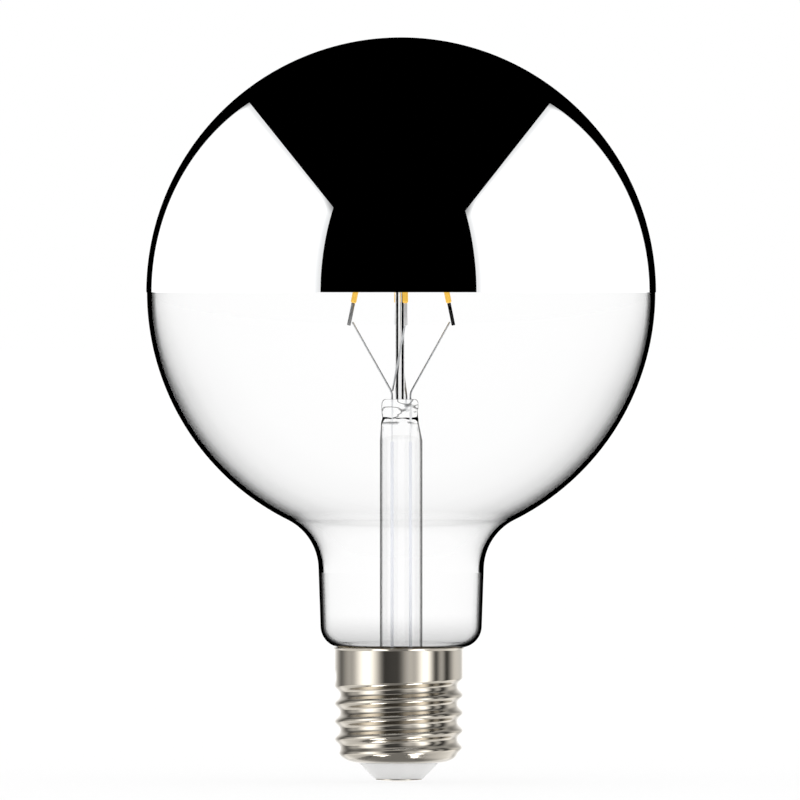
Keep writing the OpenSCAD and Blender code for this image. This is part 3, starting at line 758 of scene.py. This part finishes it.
def tab(i, end):
    """One tab: thin sheet with a rounded outer end and softened edges."""
    bm = bmesh.new()
    length = tab_len - seat
    bmesh.ops.create_cube(bm, size=1)
    bmesh.ops.scale(bm, verts=bm.verts[:], vec=(tab_w, tab_t, length))
    shift(bm, (0, 0, length / 2))
    outer_z = 0 if end == "low" else length
    corners = [e for e in bm.edges if all(abs(v.co.z - outer_z) < seat for v in e.verts)
               and abs(e.verts[0].co.y - e.verts[1].co.y) > tab_t / 2]
    bmesh.ops.bevel(bm, geom=corners, offset=tab_corner, offset_type="OFFSET", affect="EDGES",
                    segments=6, profile=0.5, material=-1)
    sharp_edges = [e for e in bm.edges if e.calc_face_angle(0) > 1]
    bmesh.ops.bevel(bm, geom=sharp_edges, offset=tab_edge, offset_type="OFFSET", affect="EDGES",
                    segments=2, profile=0.5, material=-1)
    h = 0 if end == "low" else filament_span - tab_len + seat
    bmesh.ops.transform(bm, matrix=on_filament(i, h), verts=bm.verts[:])
    name = f"tab_{SIDES[i]}_{end}"
    # The front tab gets the copy painted with light, the right tab the copy painted with shade
    tab_shading = {"right": shaded_tab_metal, "front": lit_tab_metal}.get(SIDES[i], tab_metal)
    piece(bm, f"sheet_{name}", tab_shading, "tab_metal", name)


def wire(name, path, node):
    piece(sweep(path, wire_r), f"wire_{name}", wire_metal, "nickel_wire", node)


def lead(name, x, i):
    """Wire from the board up through the press to the tab of filament i."""
    path = [Vector((x, lead_y, board_top_z + seat)), Vector((x, lead_y, lead_bend_z)),
            weld_point(i, weld_h)]
    wire(name, rounded(path, lead_bend), f"lead_wire_{name}")


def back_lead():
    """Short wire that starts at the right lead inside the press."""
    path = [Vector((lead_right_x - wire_r - 2 * seat, lead_y, stub_z)),
            Vector((lead_back_x, lead_y, stub_z)),
            Vector((lead_back_x, lead_y, press_top_z + 2 * stub_bend)), weld_point(1, weld_h)]
    wire("back", rounded(path, stub_bend), "lead_wire_back")


def front_branch():
    """Wire that leaves the left lead at its bend."""
    bend = Vector((lead_left_x, lead_y, lead_bend_z))
    weld = weld_point(3, weld_h)
    start = bend + 3.2 * wire_r * (weld - bend).normalized()
    wire("front", [start, weld], "branch_wire_front")


def sleeve(name, x):
    node = f"lead_sleeve_{name}"
    bottom, top = low(node).z, high(node).z
    bore = wire_r + seat
    outline = [(bore, bottom), (sleeve_r, bottom), (sleeve_r, top), (bore, top)]
    bm = shift(lathe(outline, closed=True, steps=32), (x, lead_y, 0))
    piece(bm, f"woven_sleeve_{name}", sleeve_plastic, "sleeve_plastic", node)


# Screw cap


def groove(angle, z):
    """How deep the rolled thread is at an angle and a height."""
    turn = (z - groove_z) / thread_pitch - angle / (2 * math.pi)
    crest = (1 - math.cos(2 * math.pi * (turn - round(turn)))) / 2
    run_out = min(1, max(0, (groove_end - angle - 2 * math.pi * round(turn)) / groove_fade))
    start = smooth((z - base_z - 0.6 * MM) / (3 * MM))
    return thread_depth * run_out * start * (1 - crest ** 1.35)


def shell_side(inset, rows=130, bowl_steps=24, lip_steps=6):
    """Outline of the shell before rolling, from the bowl up to the lip, inset from its outer face."""
    bowl_x = cap_r - bowl_w
    bowl_z = base_z + bowl_h
    top_z = lip_z - lip_edge - lip_h
    angles = [math.pi / 2 * k / bowl_steps for k in range(1, bowl_steps + 1)]
    side = [(bowl_x + (bowl_w - inset) * math.sin(a), bowl_z - (bowl_h - inset) * math.cos(a))
            for a in angles]
    side += [(cap_r - inset, bowl_z + (top_z - bowl_z) * k / rows) for k in range(1, rows + 1)]
    shares = [k / lip_steps for k in range(1, lip_steps + 1)]
    return side + [(cap_r - inset + lip_out * smooth(t), top_z + lip_h * t) for t in shares]


def shell():
    """One sheet with its bowl, thread, collar and lip, rolled inside and out."""
    edge = 0.1 * MM
    outer = [(base_hole_r + edge, base_z)] + shell_side(0)
    outer.append((cap_r + lip_out - 1.2 * lip_edge, lip_z))
    inner = shell_side(cap_wall)[::-1]
    inner[0] = (inner[0][0], lip_z)
    inner += [(base_hole_r, base_z + cap_wall), (base_hole_r, base_z + edge)]
    bm = lathe(outer + inner, closed=True, steps=256)
    for v in bm.verts:
        angle = math.atan2(v.co.y, v.co.x) % (2 * math.pi)
        radius = math.hypot(v.co.x, v.co.y) - groove(angle, v.co.z)
        v.co.x = radius * math.cos(angle)
        v.co.y = radius * math.sin(angle)
    shift(bm, (cap_x, 0, 0))
    piece(bm, "threaded_shell", nickel, "nickel_plate", "screw_shell")


def insulator():
    """White cone under the cap, with a plug and a flange inside it."""
    flange_r = high("insulator").x - cap_x
    top = high("insulator").z
    fillet = 0.3 * MM
    bore = rivet_r + seat
    outline = [(bore, contact_h), (insulator_low_r - fillet, contact_h)]
    outline += arc((insulator_low_r - fillet, contact_h + fillet), fillet,
                   -math.pi / 2, -math.pi / 4, 4)[1:]
    outline += [(plug_r, base_z - seat), (plug_r, top - flange_h), (flange_r, top - flange_h),
                (flange_r, top), (bore, top)]
    bm = shift(lathe(outline, closed=True, steps=128), (cap_x, 0, 0))
    piece(bm, "white_insulator", insulator_plastic, "insulator_plastic", "insulator")


def contact():
    """Domed centre contact with the rivet that holds it."""
    dome = contact_h - contact_rim
    dome_r = (contact_r ** 2 + dome ** 2) / (2 * dome)
    edge_angle = math.asin(contact_r / dome_r)
    edge = 0.05 * MM
    rim = contact_h - seat
    top = high("centre_contact").z
    outline = [(0, 0)] + arc((0, dome_r), dome_r, -math.pi / 2, -math.pi / 2 + edge_angle, 16)[1:]
    outline += [(contact_r, rim - edge), (contact_r - edge, rim), (rivet_r, rim),
                (rivet_r, top - rivet_head_h), (rivet_head_r, top - rivet_head_h),
                (rivet_head_r, top - 2 * edge), (rivet_head_r - 2 * edge, top), (0, top)]
    bm = shift(lathe(outline, steps=96), (cap_x, 0, 0))
    piece(bm, "domed_contact", nickel, "nickel_plate", "centre_contact")


def hidden_parts():
    """Gives the parts that no side shows the finish of the real ones."""
    finishes = {
        "top_spider": spider_metal, "cap_cement": cement, "driver_board": laminate,
        "bridge_rectifier": black_plastic, "driver_chip": black_plastic, "capacitor": can_film,
        "fusible_resistor": resistor_body, "live_wire": red_cover, "neutral_wire": blue_cover}
    for node, material in finishes.items():
        for entry in frame["nodes"][node].material_slots:
            entry.material = material


globe()
crown()
stem()
exhaust()
rod()
for i in range(4):
    filament(i)
    tab(i, "low")
    tab(i, "top")
lead("left", lead_left_x, 2)
lead("right", lead_right_x, 0)
back_lead()
front_branch()
sleeve("left", lead_left_x)
sleeve("right", lead_right_x)
shell()
insulator()
contact()
hidden_parts()


# Studio: floor, world, lamps and camera


def floor():
    """White table top. Camera and see-through rays get most of its white as light of its own."""
    material, tree = new_material("white_table")
    lit = add(tree, "ShaderNodeBsdfDiffuse", {"Color": srgb("#e6e6e6")})
    glow = add(tree, "ShaderNodeEmission", {"Color": (1, 1, 1, 1), "Strength": 1})
    both = add(tree, "ShaderNodeMixShader", {0: 0.85}, {1: lit.outputs[0], 2: glow.outputs[0]})
    path = add(tree, "ShaderNodeLightPath")
    seen = add(tree, "ShaderNodeMath", links={0: path.outputs["Is Camera Ray"],
                                              1: path.outputs["Is Transmission Ray"]},
               operation="MAXIMUM")
    show(tree, add(tree, "ShaderNodeMixShader", links={
        0: seen.outputs[0], 1: lit.outputs[0], 2: both.outputs[0]}))
    bm = bmesh.new()
    bmesh.ops.create_grid(bm, x_segments=1, y_segments=1, size=30)
    mesh = bpy.data.meshes.new("table_top")
    bm.to_mesh(mesh)
    bm.free()
    mesh.materials.append(material)
    obj = bpy.data.objects.new("table_top", mesh)
    bpy.context.scene.collection.objects.link(obj)
    obj.visible_glossy = False


def surroundings():
    """White behind the object and through its glass, soft light on it, a dark room in its mirrors."""
    world = bpy.data.worlds.new("studio")
    bpy.context.scene.world = world
    world.use_nodes = True
    tree = world.node_tree
    tree.nodes.clear()
    path = add(tree, "ShaderNodeLightPath")
    unmirrored = add(tree, "ShaderNodeMath", {1: 0.5}, {0: path.outputs["Glossy Depth"]},
                     operation="LESS_THAN")
    through = add(tree, "ShaderNodeMath", links={0: path.outputs["Is Transmission Ray"],
                                                 1: unmirrored.outputs[0]}, operation="MULTIPLY")
    seen = add(tree, "ShaderNodeMath", links={0: path.outputs["Is Camera Ray"],
                                              1: through.outputs[0]}, operation="MAXIMUM")
    dark = add(tree, "ShaderNodeMix", {"A": (0.0, 0.0, 0.0, 1), "B": (1.3, 1.3, 1.3, 1)},
               {"Factor": path.outputs["Is Diffuse Ray"]}, data_type="RGBA")
    colour = add(tree, "ShaderNodeMix", {"B": (1, 1, 1, 1)},
                 {"Factor": seen.outputs[0], "A": dark.outputs["Result"]}, data_type="RGBA")
    light = add(tree, "ShaderNodeBackground", {"Strength": 1}, {"Color": colour.outputs["Result"]})
    add(tree, "ShaderNodeOutputWorld", links={"Surface": light.outputs[0]})


def receivers(name, pieces):
    """A collection that tells lamps which pieces they light."""
    group = bpy.data.collections.new(name)
    for obj in pieces:
        group.objects.link(obj)
    return group


def softbox(name, place, aim, size, strength, lit, core=0.76, rim=0.45):
    """A softbox that is seen in mirrors only, even in its core and weaker towards its rim."""
    lamp = bpy.data.lights.new(name, "AREA")
    lamp.shape = "RECTANGLE"
    lamp.size, lamp.size_y = size
    # 4 W for each square metre makes a strength of 1 as bright as a white wall
    lamp.energy = 4 * size[0] * size[1]
    lamp.use_nodes = True
    tree = lamp.node_tree
    tree.nodes.clear()
    spot = add(tree, "ShaderNodeNewGeometry")
    split = add(tree, "ShaderNodeSeparateXYZ", links={0: spot.outputs["Parametric"]})
    edge = []
    for axis in ("X", "Y"):
        off = add(tree, "ShaderNodeMath", {1: 0.5}, {0: split.outputs[axis]}, operation="SUBTRACT")
        far = add(tree, "ShaderNodeMath", links={0: off.outputs[0]}, operation="ABSOLUTE")
        edge.append(add(tree, "ShaderNodeMapRange", {
            "From Min": 0.5, "From Max": core / 2, "To Min": rim, "To Max": 1},
            {"Value": far.outputs[0]}, interpolation_type="SMOOTHSTEP"))
    both = add(tree, "ShaderNodeMath", links={0: edge[0].outputs[0], 1: edge[1].outputs[0]},
               operation="MULTIPLY")
    level = add(tree, "ShaderNodeMath", {1: strength}, {0: both.outputs[0]}, operation="MULTIPLY")
    glow = add(tree, "ShaderNodeEmission", links={"Strength": level.outputs[0]})
    add(tree, "ShaderNodeOutputLight", links={"Surface": glow.outputs[0]})
    obj = bpy.data.objects.new(name, lamp)
    bpy.context.scene.collection.objects.link(obj)
    place = Vector(place)
    obj.location = place
    obj.rotation_euler = (Vector(aim) - place).to_track_quat("-Z", "Y").to_euler()
    obj.visible_camera = False
    obj.visible_transmission = False
    obj.light_linking.receiver_collection = lit


def crown_lamps():
    """One tall flat softbox on each side of the globe."""
    lit = receivers("crown_side", [bpy.data.objects["silver_crown"]])
    bottom = -0.3
    for name, side, near, far, top in (("left_wall", -1, -1.37, 2.12, 1.25),
                                       ("right_wall", 1, -1.5, 1.88, 1.27)):
        place = Vector((side, (near + far) / 2, (top + bottom) / 2))
        place.z += globe_z
        softbox(name, place, place - Vector((side, 0, 0)), (far - near, top - bottom), 1.5, lit)


def cap_lamps():
    """Soft panels round the screw cap, placed by their angle from the camera."""
    named = ("threaded_shell", "domed_contact", "white_insulator")
    lit = receivers("cap_side", [bpy.data.objects[n] for n in named])
    aim = Vector((cap_x, 0, (base_z + lip_z) / 2))
    for name, angle, width, strength in (
            ("key_left", -60, 36, 1.75), ("card_left", -99, 30, 0.45), ("card_right", 22, 24, 0.55),
            ("key_right", 49, 22, 1.75), ("card_side", 83, 14, 0.45), ("card_far", 124, 30, 0.7),
            ("card_back", 180, 66, 1), ("card_front", -6, 50, 0.06), ("card_edge", -128, 24, 0.12)):
        a = math.radians(angle)
        place = aim + Vector((math.sin(a), -math.cos(a), 0))
        # A panel fades from its middle, so its bright half takes up the width
        breadth = 4 * math.tan(math.radians(width / 2))
        softbox(name, place, aim, (breadth, 2.4), strength, lit, core=0, rim=0.04)
    # The table glows on both sides, and is dim right under the cap
    for name, x, breadth, strength in (("table_left", -1.5, 2.6, 0.62), ("table_middle", 0, 1.1, 0.2),
                                       ("table_right", 1.5, 2.6, 0.62)):
        place = aim + Vector((x, 0, -1))
        softbox(name, place, place + AXIS, (breadth, 5), strength, lit, core=0.6, rim=0.2)
    softbox("ceiling_glow", aim + Vector((0, 0, 1.3)), aim, (3.2, 3.2), 0.35, lit, core=0.5, rim=0.1)
    # Two small lamps make the bright ovals on the shell's rounded bottom
    bowl = Vector((cap_x, 0, 6 * MM))
    for name, side in (("low_left", -1), ("low_right", 1)):
        place = bowl + 0.65 * Vector((0.33 * side, -0.07, -0.94))
        softbox(name, place, bowl, (0.17, 0.17), 4, lit, core=0.9)


def camera():
    """A long lens, almost level, as the photograph has it."""
    pixel = 0.20456 * MM
    distance = 4.0
    eye_z = 100.1 * MM
    centre = Vector((-1.15 * pixel, 0, 382 * pixel))
    data = bpy.data.cameras.new("camera")
    data.sensor_width = 36
    data.lens = 36 * distance / (800 * pixel)
    data.clip_start = 0.1
    data.clip_end = 100
    obj = bpy.data.objects.new("camera", data)
    bpy.context.scene.collection.objects.link(obj)
    obj.location = (centre.x, -distance, eye_z)
    obj.rotation_euler = (centre - obj.location).to_track_quat("-Z", "Y").to_euler()
    bpy.context.scene.camera = obj


floor()
surroundings()
crown_lamps()
cap_lamps()
camera()

scene = bpy.context.scene
scene.view_settings.view_transform = "Standard"
scene.cycles.max_bounces = 24
scene.cycles.transmission_bounces = 24
scene.cycles.transparent_max_bounces = 32
scene.cycles.glossy_bounces = 8
